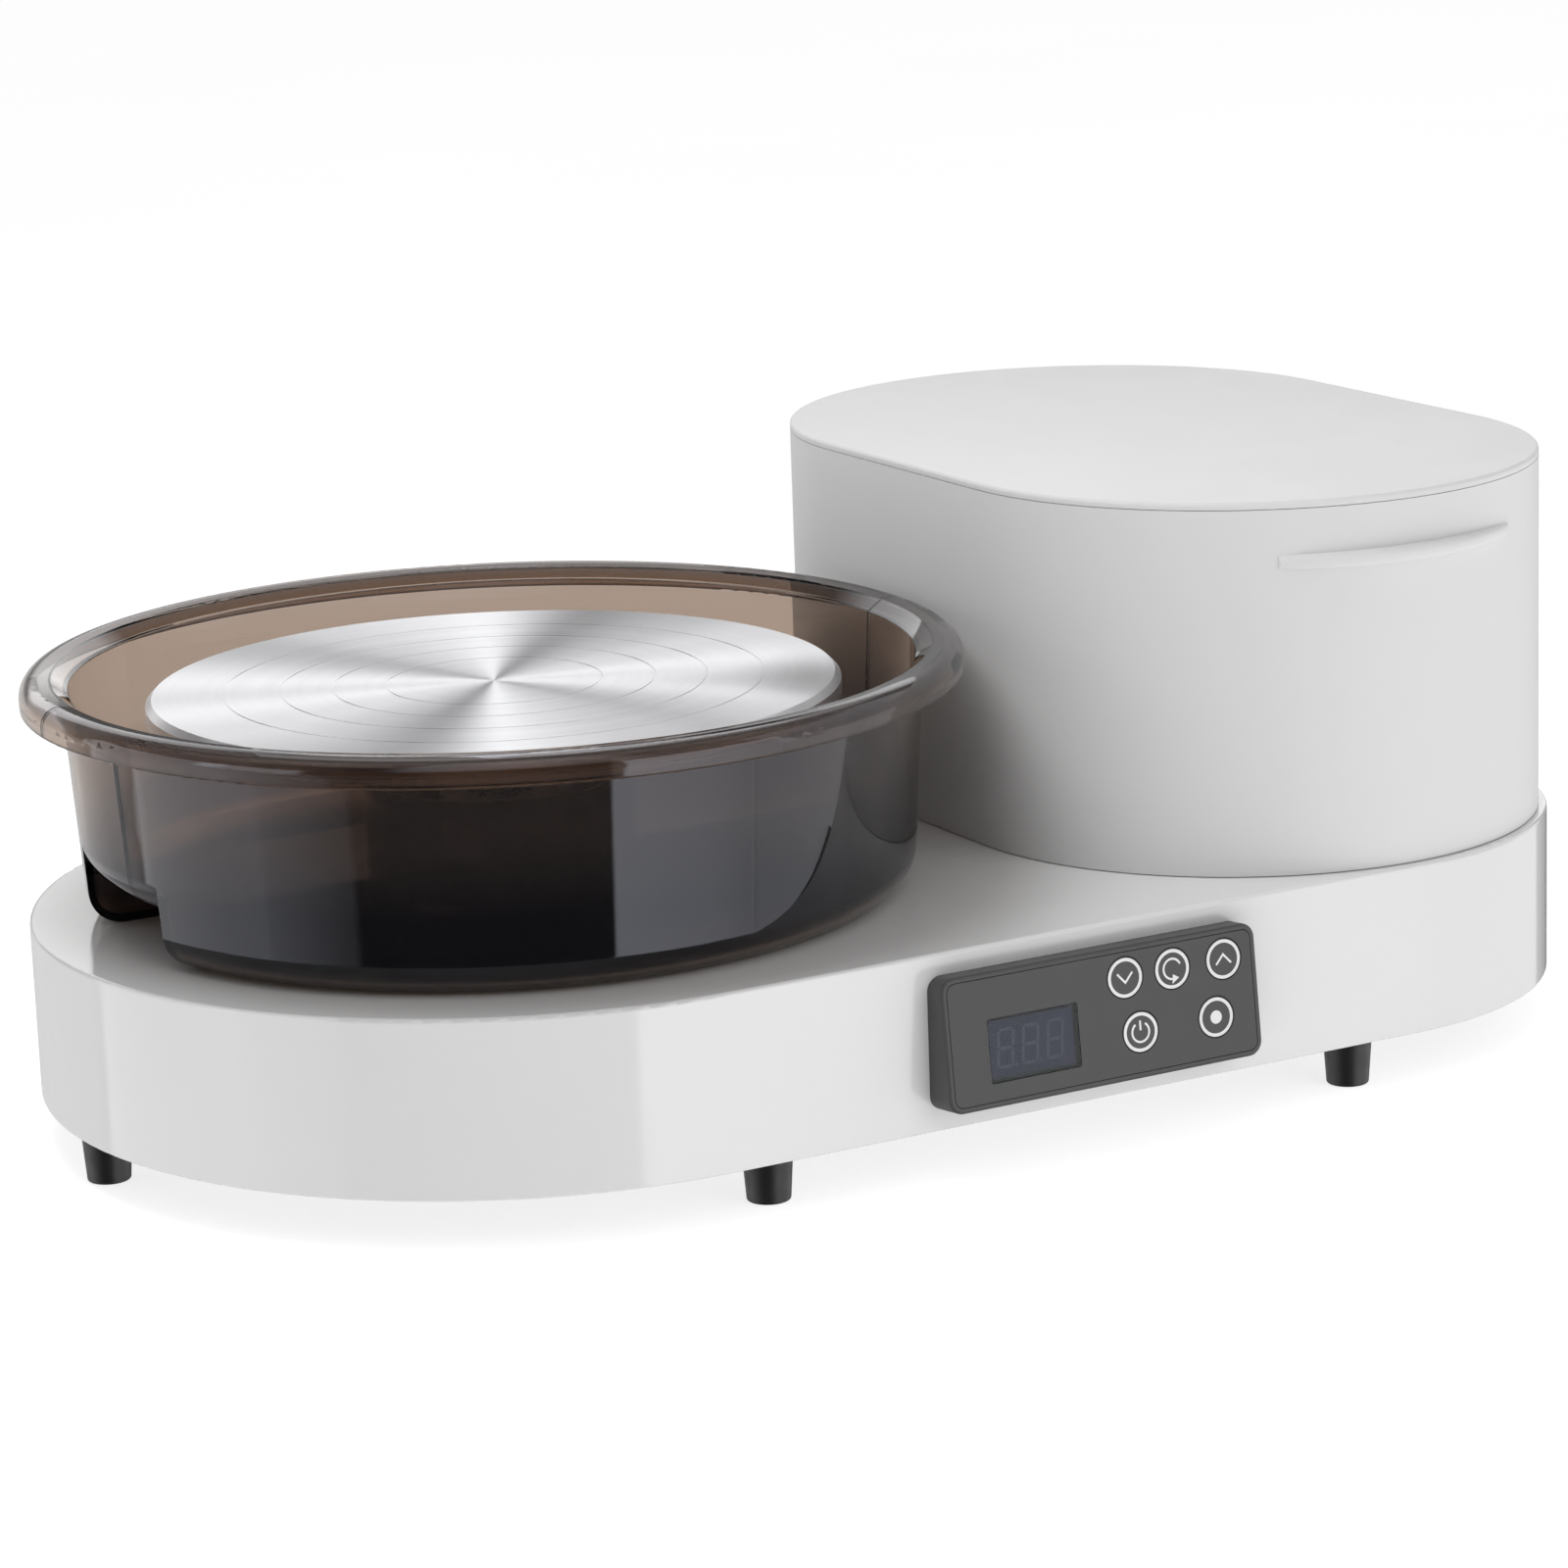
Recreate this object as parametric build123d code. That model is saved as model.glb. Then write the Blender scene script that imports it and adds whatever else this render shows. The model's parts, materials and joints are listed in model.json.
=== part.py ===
"""Tabletop pottery wheel: belt-driven wheel head, split splash pan, storage drum, control panel.

Millimetres, +Z up, the floor under the rubber feet at z = 0. The model is drawn about the wheel's
spindle axis and moved at export so that the origin is the middle of the whole object's footprint.
X runs from the wheel to the storage drum, and -Y is the side with the control panel.
"""
import os
from math import atan2, cos, degrees, radians, sin, sqrt

from build123d import *

# ---------------------------------------------------------------- driving dimensions
# Base
FOOT_H = 20.0
BASE_H = 71.0
BASE_R = 191.5          # left end, about the spindle, and half the base's depth
BASE_WALL = 3.0
BASE_BOTTOM = FOOT_H
BASE_TOP = BASE_BOTTOM + BASE_H
BASE_ROOF = BASE_TOP - BASE_WALL
PLATE_T = 2.5
PLATE_TOP = BASE_BOTTOM + PLATE_T
PLATE_GAP = 0.3

# Storage drum
DRUM_X = 318.0
DRUM_R = 126.0
DRUM_HALF = 62.0        # half the distance between the centres of its two round ends
DRUM_TOP = 244.0
DRUM_WALL = 3.0
DRUM_GAP = 0.4          # under the drum's skirt
DRUM_FLOOR = BASE_TOP + 5.0
LID_T = 3.0
LID_LIP = 8.0
LID_GAP = 0.3
CORNER_R = BASE_R - DRUM_HALF
BOSS_INSET = 20.0
BOSS_H = 4.0
GRIP_Z = 219.5
GRIP_H = 6.0
GRIP_HALF = 56.0        # half length along X
GRIP_OUT = 6.5
GRIP_R = 96.0

# Wheel head and spindle
HEAD_R = 140.0
HEAD_T = 9.0
HEAD_TOP = 177.0
HEAD_BOTTOM = HEAD_TOP - HEAD_T
HEAD_BEVEL = 2.5
GROOVE_RADII = (43.5, 65.0, 86.0, 109.0)
GROOVE_W = 0.7
GROOVE_D = 0.3
HUB_R = 42.0
HUB_T = 8.0
HUB_BOSS_R = 16.0
HUB_BOSS_BOTTOM = 140.0
SHAFT_R = 8.5
SHAFT_BOTTOM = 27.0
SHAFT_TOP = 165.0
HOUSING_R = 24.0
HOUSING_BORE = 19.0
HOUSING_BOTTOM = 46.0
HOUSING_TOP = 132.0
FLANGE_R = 46.0
FLANGE_T = 4.0

# Splash pan
PAN_GAP = 0.3           # between the pan and the base's top
PAN_BOTTOM = BASE_TOP + PAN_GAP
PAN_T = 3.0
PAN_R_LOW = 167.5
PAN_R_HIGH = 172.7
PAN_WALL_TOP = 176.0
PAN_CORNER = 13.0
LIP_FLARE_Z = 184.2     # the inside of the wall leans out from here up to the lip's inner edge
LIP_EDGE_R = 176.8
LIP_EDGE_Z = 188.9
LIP_CROWN_R = 182.0
LIP_CROWN_Z = 189.6
LIP_R = 189.6
LIP_SIDE_Z = 182.0
LIP_FOOT_Z = 178.4
LIP_T = 2.5
RIM_CUT = 174.0         # the rim and the wall part in different planes above and below this height
BRIDGE_FRONT = -38.0    # the raised middle of the pan's floor runs between these two planes
BRIDGE_BACK = 41.0
BRIDGE_UNDER = 112.0
COLLAR_R = 52.0
COLLAR_TOP = 140.0
SEAM_SPAN = 170.0       # each seam is given by its Y at this distance left and right of the spindle
WALL_SEAM = (-18.0, -7.5)
RIM_SEAM = (10.0, -7.5)
SEAM_GAP = 0.3

# Belt drive and motor
MOTOR_X = 240.0
PULLEY_R = 54.0
MOTOR_PULLEY_R = 15.0
PULLEY_BOTTOM = 28.0
PULLEY_TOP = 41.0
PULLEY_LIP = 1.5
PULLEY_LIP_OUT = 3.5
BELT_T = 2.5
BELT_GAP = 0.3
BRACKET_Z = 44.0
BRACKET_T = 3.0
BRACKET_HALF = 58.0
MOTOR_R = 42.0
MOTOR_TOP = 84.0
MOTOR_SHAFT_R = 4.0

# Control panel
PANEL_X = 158.0
PANEL_Z = 57.0
PANEL_W = 144.0
PANEL_H = 53.3
PANEL_CORNER = 6.0
PANEL_BORDER = 2.2
EDGE_ROUND = 1.2
DEPTH_TOP = 10.0        # how far the face stands in front of the base's wall at its top edge
DEPTH_BOTTOM = 16.0
FACE_T = 2.0
FACE_GAP = 0.3
BUTTON_R = 8.2
BUTTON_GAP = 0.3
BUTTON_TRAVEL = 0.8
BUTTONS = {
    "button_speed_down": (10.6, 14.2),
    "button_direction": (32.5, 14.2),
    "button_speed_up": (56.5, 14.2),
    "button_power": (15.8, -8.2),
    "button_mode": (51.1, -8.2),
}
WINDOW_U = -32.5
WINDOW_V = -4.5
WINDOW_W = 41.0
WINDOW_H = 25.5
BOARD_DEPTH = 8.0
BOARD_T = 1.6

# Rear connectors
INLET_X = 330.0
JACK_X = 280.0
CONNECTOR_Z = 55.0
JACK_BORE_R = 3.25
JACK_LENGTH = 16.0
JACK_LIP = 2.5

# Panel tilt and the footprint's middle, seen from the spindle
TILT = atan2(DEPTH_BOTTOM - DEPTH_TOP, PANEL_H)
FACE_Y = -BASE_R - (DEPTH_TOP + DEPTH_BOTTOM) / 2
FRONT_REACH = FACE_Y - EDGE_ROUND * (1 - cos(TILT)) - (PANEL_H / 2 - EDGE_ROUND) * sin(TILT)
BACK_REACH = DRUM_HALF + DRUM_R + GRIP_OUT
X_MID = (DRUM_X + CORNER_R - BASE_R) / 2
Y_MID = (FRONT_REACH + BACK_REACH) / 2

nodes = {}


def add(name, shape):
    """Keep one node; a list of solids becomes one group."""
    nodes[name] = Compound(children=list(shape)) if isinstance(shape, list) else shape


# ---------------------------------------------------------------- small helpers
def cyl(r, z0, z1, x=0.0, y=0.0):
    """Upright cylinder between two heights."""
    return Pos(x, y, z0) * Cylinder(r, z1 - z0, align=(Align.CENTER, Align.CENTER, Align.MIN))


def ring(r_out, r_in, z0, z1, x=0.0, y=0.0):
    """Upright tube between two heights."""
    return cyl(r_out, z0, z1, x, y) - cyl(r_in, z0 - 1, z1 + 1, x, y)


def along_y(r, y0, y1, x, z):
    """Cylinder along Y between two planes."""
    return Pos(x, (y0 + y1) / 2, z) * Rot(90, 0, 0) * Cylinder(r, y1 - y0)


def block(x0, x1, y0, y1, z0, z1):
    """Box given by its two corners."""
    return Pos((x0 + x1) / 2, (y0 + y1) / 2, (z0 + z1) / 2) * Box(x1 - x0, y1 - y0, z1 - z0)


def screw(x, y, z_head, head_r, head_h, shank_r, length):
    """Pan-head screw pointing up: its head hangs below z_head and its shank rises above it."""
    head = cyl(head_r, z_head - head_h, z_head, x, y)
    arm = head_r * 0.6
    low, high = z_head - head_h - 1, z_head - head_h + 0.8
    cross = block(x - arm, x + arm, y - 0.4, y + 0.4, low, high)
    cross += block(x - 0.4, x + 0.4, y - arm, y + arm, low, high)
    return head + cyl(shank_r, z_head - 0.1, z_head + length, x, y) - cross


def base_face(inset):
    """Plan of the base: a half circle about the spindle and two rounded corners at the drum's end."""
    r = BASE_R - inset
    c = CORNER_R - inset
    d = c * sqrt(0.5)
    edges = [
        ThreePointArc((0, r), (-r, 0), (0, -r)),
        Line((0, -r), (DRUM_X, -r)),
        ThreePointArc((DRUM_X, -r), (DRUM_X + d, -DRUM_HALF - d), (DRUM_X + c, -DRUM_HALF)),
        Line((DRUM_X + c, -DRUM_HALF), (DRUM_X + c, DRUM_HALF)),
        ThreePointArc((DRUM_X + c, DRUM_HALF), (DRUM_X + d, DRUM_HALF + d), (DRUM_X, r)),
        Line((DRUM_X, r), (0, r)),
    ]
    return make_face(edges)


def drum_face(inset):
    """Plan of the storage drum: a stadium with its long axis along Y."""
    slot = SlotCenterToCenter(2 * DRUM_HALF, 2 * (DRUM_R - inset), rotation=90)
    return Pos(DRUM_X, 0) * slot


def raise_face(face, z0, z1):
    """Extrude a plan between two heights."""
    return extrude(Pos(0, 0, z0) * face, z1 - z0)


def fillet_level(solid, z, radius):
    """Round every edge that lies flat at one height."""
    edges = solid.edges().filter_by_position(Axis.Z, z - 0.01, z + 0.01)
    return fillet(edges, radius)


# ---------------------------------------------------------------- base
FOOT_PLACES = [(-178, 0), (24.5, -172), (24.5, 172), (292.5, -176), (292.5, 176), (432, 0)]
BOSS_CORNERS = ((-120, 128), (110, 180), (228, 180), (420, 100))
BOSS_PLACES = [(x, side * y) for x, y in BOSS_CORNERS for side in (-1, 1)]
BOSS_R = 5.0
PANEL_SCREWS = [(PANEL_X + i * 66, PANEL_Z + k) for i in (-1, 1) for k in (-21.5, 21.5)]


def make_base():
    shell = raise_face(base_face(0), BASE_BOTTOM, BASE_TOP)
    shell = fillet_level(shell, BASE_TOP, 1.6)
    shell = fillet_level(shell, BASE_BOTTOM, 0.8)
    shell -= raise_face(base_face(BASE_WALL), BASE_BOTTOM - 1, BASE_ROOF)
    boss = raise_face(drum_face(BOSS_INSET), BASE_TOP - 0.5, BASE_TOP + BOSS_H)
    shell += fillet_level(boss, BASE_TOP + BOSS_H, 1.0)
    for x, y in BOSS_PLACES:
        shell += cyl(BOSS_R, PLATE_TOP, BASE_ROOF + 0.5, x, y)
        shell -= cyl(1.6, PLATE_TOP - 1, PLATE_TOP + 14, x, y)
    for x, y in FOOT_PLACES:
        shell += cyl(BOSS_R, PLATE_TOP, BASE_ROOF + 0.5, x, y)
        shell -= cyl(1.6, PLATE_TOP - 1, PLATE_TOP + 14, x, y)
    shell -= cyl(HOUSING_R + 0.4, BASE_ROOF - 1, BASE_TOP + 1)
    for a in range(45, 360, 90):
        x = 36 * cos(radians(a))
        y = 36 * sin(radians(a))
        shell -= cyl(2.1, BASE_ROOF - 1, BASE_TOP + 1, x, y)
    shell -= block(PANEL_X - 62, PANEL_X + 62, -BASE_R - 1, -BASE_R + BASE_WALL + 0.5, 38, 76)
    for x, z in PANEL_SCREWS:
        shell -= along_y(1.7, -BASE_R - 1, -BASE_R + BASE_WALL + 1, x, z)
    shell -= block(INLET_X - 13.7, INLET_X + 13.7, BASE_R - 8, BASE_R + 1, CONNECTOR_Z - 10, CONNECTOR_Z + 10)
    shell -= along_y(6.1, BASE_R - 6, BASE_R + 6, JACK_X, CONNECTOR_Z)
    add("base_shell", shell)

    plate = raise_face(base_face(BASE_WALL + PLATE_GAP), BASE_BOTTOM, PLATE_TOP)
    for x, y in BOSS_PLACES:
        plate -= cyl(1.8, BASE_BOTTOM - 1, PLATE_TOP + 1, x, y)
    for x, y in FOOT_PLACES:
        plate -= cyl(1.8, BASE_BOTTOM - 1, PLATE_TOP + 1, x, y)
    for i in range(9):
        plate -= Pos(MOTOR_X - 48 + i * 12, 0, BASE_BOTTOM) * extrude(SlotOverall(60, 4, rotation=90), 4)
    add("bottom_plate", plate)

    add("plate_screws", [screw(x, y, BASE_BOTTOM, 3.4, 1.8, 1.5, PLATE_T + 12) for x, y in BOSS_PLACES])
    for i, (x, y) in enumerate(FOOT_PLACES):
        foot = Pos(x, y, 0) * Cone(8.6, 10.0, FOOT_H, align=(Align.CENTER, Align.CENTER, Align.MIN))
        foot = fillet_level(foot, 0, 0.8)
        foot -= cyl(4.4, -1, 12, x, y)
        foot -= cyl(1.7, 11, FOOT_H + 1, x, y)
        add(f"foot_{i + 1}", foot)
    add("foot_screws", [screw(x, y, 12, 4.0, 2.4, 1.5, FOOT_H - 12 + PLATE_T + 12) for x, y in FOOT_PLACES])


# ---------------------------------------------------------------- spindle and wheel head
BEARING_W = 12.0
BEARING_Z = (48.0, 118.0)
BALL_R = 2.8
BALL_PITCH = (SHAFT_R + HOUSING_BORE) / 2
RACE_T = 3.6


def make_bearing(z0):
    """Outer race, inner race and balls of one deep-groove bearing standing on z0."""
    zc = z0 + BEARING_W / 2
    groove = Pos(0, 0, zc) * Torus(BALL_PITCH, BALL_R + 0.1)
    outer = ring(HOUSING_BORE, HOUSING_BORE - RACE_T, z0, z0 + BEARING_W) - groove
    inner = ring(SHAFT_R + RACE_T, SHAFT_R, z0, z0 + BEARING_W) - groove
    balls = []
    for i in range(9):
        a = radians(40 * i)
        balls.append(Pos(BALL_PITCH * cos(a), BALL_PITCH * sin(a), zc) * Sphere(BALL_R))
    return outer, inner, balls


def make_spindle():
    lower, upper = [make_bearing(z) for z in BEARING_Z]
    add("bearing_outer_races", [lower[0], upper[0]])
    add("bearing_inner_races", [lower[1], upper[1]])
    add("bearing_balls", lower[2] + upper[2])

    housing = cyl(HOUSING_R, HOUSING_BOTTOM, HOUSING_TOP)
    housing += cyl(FLANGE_R, BASE_TOP, BASE_TOP + FLANGE_T)
    housing += Pos(0, 0, BASE_TOP + FLANGE_T) * Cone(
        HOUSING_R + 8, HOUSING_R, 12, align=(Align.CENTER, Align.CENTER, Align.MIN))
    housing -= cyl(HOUSING_BORE, BEARING_Z[0], BEARING_Z[1] + BEARING_W)
    housing -= cyl(SHAFT_R + 4.5, HOUSING_BOTTOM - 1, HOUSING_TOP + 1)
    for a in range(45, 360, 90):
        x = 36 * cos(radians(a))
        y = 36 * sin(radians(a))
        housing -= cyl(2.1, BASE_TOP - 1, BASE_TOP + FLANGE_T + 1, x, y)
    spacer = ring(HOUSING_BORE, HOUSING_BORE - 2, BEARING_Z[0] + BEARING_W, BEARING_Z[1])
    add("bearing_housing", housing + spacer)

    bolts = []
    for a in range(45, 360, 90):
        x = 36 * cos(radians(a))
        y = 36 * sin(radians(a))
        head = cyl(3.5, BASE_TOP + FLANGE_T, BASE_TOP + FLANGE_T + 4, x, y)
        head -= Pos(x, y, BASE_TOP + FLANGE_T + 2) * extrude(RegularPolygon(1.7, 6), 3)
        bolt = head + cyl(2.0, BASE_ROOF - 5, BASE_TOP + FLANGE_T + 0.1, x, y)
        nut = Pos(x, y, BASE_ROOF - 3.2) * extrude(RegularPolygon(4.0, 6), 3.2)
        bolts.append(bolt + (nut - cyl(1.9, BASE_ROOF - 4, BASE_TOP, x, y)))
    add("housing_bolts", bolts)

    shaft = cyl(SHAFT_R, SHAFT_BOTTOM, SHAFT_TOP)
    shaft = chamfer(shaft.edges().filter_by(GeomType.CIRCLE), 0.8)
    shaft -= cyl(2.5, SHAFT_BOTTOM - 1, SHAFT_BOTTOM + 16)
    add("spindle_shaft", shaft)

    hub = cyl(HUB_R, HEAD_BOTTOM - HUB_T, HEAD_BOTTOM)
    hub += cyl(HUB_BOSS_R, HUB_BOSS_BOTTOM, HEAD_BOTTOM - HUB_T + 0.5)
    hub += Pos(0, 0, HEAD_BOTTOM - HUB_T - 6) * Cone(
        HUB_BOSS_R, HUB_BOSS_R + 8, 6, align=(Align.CENTER, Align.CENTER, Align.MIN))
    hub -= cyl(SHAFT_R, HUB_BOSS_BOTTOM - 1, SHAFT_TOP)
    screws = []
    for a in range(0, 360, 90):
        x = 34 * cos(radians(a))
        y = 34 * sin(radians(a))
        hub -= cyl(2.6, HEAD_BOTTOM - HUB_T - 1, HEAD_BOTTOM + 1, x, y)
        screws.append(screw(x, y, HEAD_BOTTOM - HUB_T, 4.2, 2.6, 2.5, HUB_T + 5))
    add("wheel_hub", hub)
    add("hub_screws", screws)

    head = cyl(HEAD_R, HEAD_BOTTOM, HEAD_TOP)
    head = chamfer(head.edges().filter_by_position(Axis.Z, HEAD_TOP - 0.01, HEAD_TOP + 0.01), HEAD_BEVEL)
    head = fillet_level(head, HEAD_BOTTOM, 0.8)
    for r in GROOVE_RADII:
        head -= ring(r + GROOVE_W / 2, r - GROOVE_W / 2, HEAD_TOP - GROOVE_D, HEAD_TOP + 1)
    for a in range(0, 360, 90):
        head -= cyl(2.5, HEAD_BOTTOM - 1, HEAD_BOTTOM + 5, 34 * cos(radians(a)), 34 * sin(radians(a)))
    add("wheel_head", head)


# ---------------------------------------------------------------- splash pan
def pan_profile(floor_z, inset):
    """Half section of a pan bowl with a rounded foot, from the axis out to the drafted wall."""
    slope = (PAN_R_HIGH - PAN_R_LOW) / (PAN_WALL_TOP - PAN_BOTTOM)
    z0 = floor_z + inset
    z1 = PAN_WALL_TOP + (8 if inset else 0)
    r0 = PAN_R_LOW - inset + slope * (z0 - PAN_BOTTOM)
    r1 = PAN_R_LOW - inset + slope * (z1 - PAN_BOTTOM)
    corner = PAN_CORNER - inset
    d = corner * (1 - sqrt(0.5))
    edges = [
        Line((0, 0, z0), (r0 - corner, 0, z0)),
        ThreePointArc((r0 - corner, 0, z0), (r0 - d, 0, z0 + d), (r0 + slope * corner, 0, z0 + corner)),
        Line((r0 + slope * corner, 0, z0 + corner), (r1, 0, z1)),
        Line((r1, 0, z1), (0, 0, z1)),
        Line((0, 0, z1), (0, 0, z0)),
    ]
    return revolve(make_face(edges), Axis.Z)


def slab(y0, y1, z0, z1):
    """Box right across the pan between two planes."""
    return block(-260, 260, y0, y1, z0, z1)


def make_lip():
    """Lip rolled outwards from the top of the pan's wall, with a channel under it."""
    slope = (PAN_R_HIGH - PAN_R_LOW) / (PAN_WALL_TOP - PAN_BOTTOM)
    inner_r = PAN_R_HIGH - PAN_T
    under_z = LIP_FLARE_Z - 1.0
    flare = (inner_r + slope * (LIP_FLARE_Z - PAN_WALL_TOP), 0, LIP_FLARE_Z)
    neck = (PAN_R_HIGH + slope * (under_z - PAN_WALL_TOP), 0, under_z)
    side = (LIP_R, 0, LIP_SIDE_Z)
    crown = (LIP_CROWN_R, 0, LIP_CROWN_Z)
    bend = (LIP_R - LIP_CROWN_R) * (1 - sqrt(0.5))
    side_in = (LIP_R - LIP_T, 0, LIP_SIDE_Z)
    crown_in = (LIP_CROWN_R, 0, LIP_CROWN_Z - LIP_T)
    bend_in = (LIP_R - LIP_T - LIP_CROWN_R) * (1 - sqrt(0.5))
    foot_in = (LIP_R - LIP_T - 0.1, 0, LIP_FOOT_Z)
    foot_out = (LIP_R - 0.1, 0, LIP_FOOT_Z)
    edges = [
        Line((inner_r, 0, PAN_WALL_TOP), flare),
        Line(flare, (LIP_EDGE_R, 0, LIP_EDGE_Z)),
        Line((LIP_EDGE_R, 0, LIP_EDGE_Z), crown),
        ThreePointArc(crown, (LIP_R - bend, 0, LIP_CROWN_Z - bend), side),
        Line(side, foot_out),
        ThreePointArc(foot_out, (LIP_R - LIP_T / 2 - 0.1, 0, LIP_FOOT_Z - 0.7), foot_in),
        Line(foot_in, side_in),
        ThreePointArc(side_in, (LIP_R - LIP_T - bend_in, 0, LIP_CROWN_Z - LIP_T - bend_in), crown_in),
        Line(crown_in, (LIP_EDGE_R + 0.9, 0, LIP_EDGE_Z - LIP_T)),
        Line((LIP_EDGE_R + 0.9, 0, LIP_EDGE_Z - LIP_T), neck),
        Line(neck, (PAN_R_HIGH, 0, PAN_WALL_TOP)),
        Line((PAN_R_HIGH, 0, PAN_WALL_TOP), (inner_r, 0, PAN_WALL_TOP)),
    ]
    return revolve(make_face(edges), Axis.Z)


def seam_side(seam, side, z0, z1):
    """Everything on one side of a seam plane between two heights, clear of it by half the seam's gap."""
    near, far = sorted((side * SEAM_GAP / 2, side * 400))
    turn = degrees(atan2(seam[1] - seam[0], 2 * SEAM_SPAN))
    return Pos(0, sum(seam) / 2, 0) * Rot(0, 0, turn) * slab(near, far, z0, z1)


def make_pan():
    far = 400
    low_out = pan_profile(PAN_BOTTOM, 0)
    high_out = pan_profile(BRIDGE_UNDER, 0)
    low_in = pan_profile(PAN_BOTTOM, PAN_T)
    high_in = pan_profile(BRIDGE_UNDER, PAN_T)
    outside = low_out - (slab(BRIDGE_FRONT, BRIDGE_BACK, 0, BRIDGE_UNDER + PAN_CORNER) - high_out)
    inside = (low_in - slab(BRIDGE_FRONT - PAN_T, BRIDGE_BACK + PAN_T, 0, far)) + high_in
    collar = cyl(COLLAR_R + PAN_T, PAN_BOTTOM, COLLAR_TOP)
    collar -= slab(BRIDGE_FRONT, BRIDGE_BACK, 0, BRIDGE_UNDER)
    pan = (outside - inside) + collar
    pan -= cyl(COLLAR_R, 0, far)

    pan += make_lip()

    front = seam_side(WALL_SEAM, -1, 0, RIM_CUT) + seam_side(RIM_SEAM, -1, RIM_CUT, far)
    back = seam_side(WALL_SEAM, 1, 0, RIM_CUT - SEAM_GAP) + seam_side(RIM_SEAM, 1, 0, far)
    add("pan_front", pan & front)
    add("pan_back", pan & back)


# ---------------------------------------------------------------- storage drum
def make_grip(side):
    """Finger ledge on one round end of the drum: side is -1 at the front and 1 at the back."""
    reach = DRUM_HALF + DRUM_R + GRIP_OUT
    disc = Pos(DRUM_X, side * (reach - GRIP_R), GRIP_Z - GRIP_H / 2) * Cylinder(
        GRIP_R, GRIP_H, align=(Align.CENTER, Align.CENTER, Align.MIN))
    disc = fillet(disc.edges().filter_by(GeomType.CIRCLE), GRIP_H / 2 - 0.4)
    window = block(DRUM_X - GRIP_HALF, DRUM_X + GRIP_HALF, -300, 300, GRIP_Z - GRIP_H, GRIP_Z + GRIP_H)
    return disc & window


def make_drum():
    rim_z = DRUM_TOP - LID_T - LID_GAP
    outer = raise_face(drum_face(0), BASE_TOP + DRUM_GAP, rim_z)
    for side in (-1, 1):
        outer += make_grip(side)
    body = outer - raise_face(drum_face(DRUM_WALL), DRUM_FLOOR + DRUM_WALL, rim_z + 1)
    body -= raise_face(drum_face(DRUM_WALL + 4), 0, DRUM_FLOOR)
    add("drum_body", body)

    lid = raise_face(drum_face(0), DRUM_TOP - LID_T, DRUM_TOP)
    lid = fillet_level(lid, DRUM_TOP, 1.6)
    lip_out = DRUM_WALL + 0.5
    lip = raise_face(drum_face(lip_out), DRUM_TOP - LID_T - LID_LIP, DRUM_TOP - LID_T + 0.5)
    lip -= raise_face(drum_face(lip_out + 2.5), 0, DRUM_TOP - LID_T)
    add("drum_lid", lid + lip)


# ---------------------------------------------------------------- belt drive and motor
def loop_face(r_wheel, r_motor):
    """Plan of a belt line drawn tight around two circles."""
    s = (r_wheel - r_motor) / MOTOR_X
    c = sqrt(1 - s * s)
    wheel_front, wheel_back = ((r_wheel * s, side * r_wheel * c) for side in (-1, 1))
    motor_front, motor_back = ((MOTOR_X + r_motor * s, side * r_motor * c) for side in (-1, 1))
    edges = [
        ThreePointArc(wheel_back, (-r_wheel, 0), wheel_front),
        Line(wheel_front, motor_front),
        ThreePointArc(motor_front, (MOTOR_X + r_motor, 0), motor_back),
        Line(motor_back, wheel_back),
    ]
    return make_face(edges)


def pulley(r, bore, x):
    """Flat-belt pulley with a lip above and below the belt."""
    solid = cyl(r, PULLEY_BOTTOM, PULLEY_TOP, x)
    solid += cyl(r + PULLEY_LIP_OUT, PULLEY_BOTTOM, PULLEY_BOTTOM + PULLEY_LIP, x)
    solid += cyl(r + PULLEY_LIP_OUT, PULLEY_TOP - PULLEY_LIP, PULLEY_TOP, x)
    return solid - cyl(bore, 0, 60, x)


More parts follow.
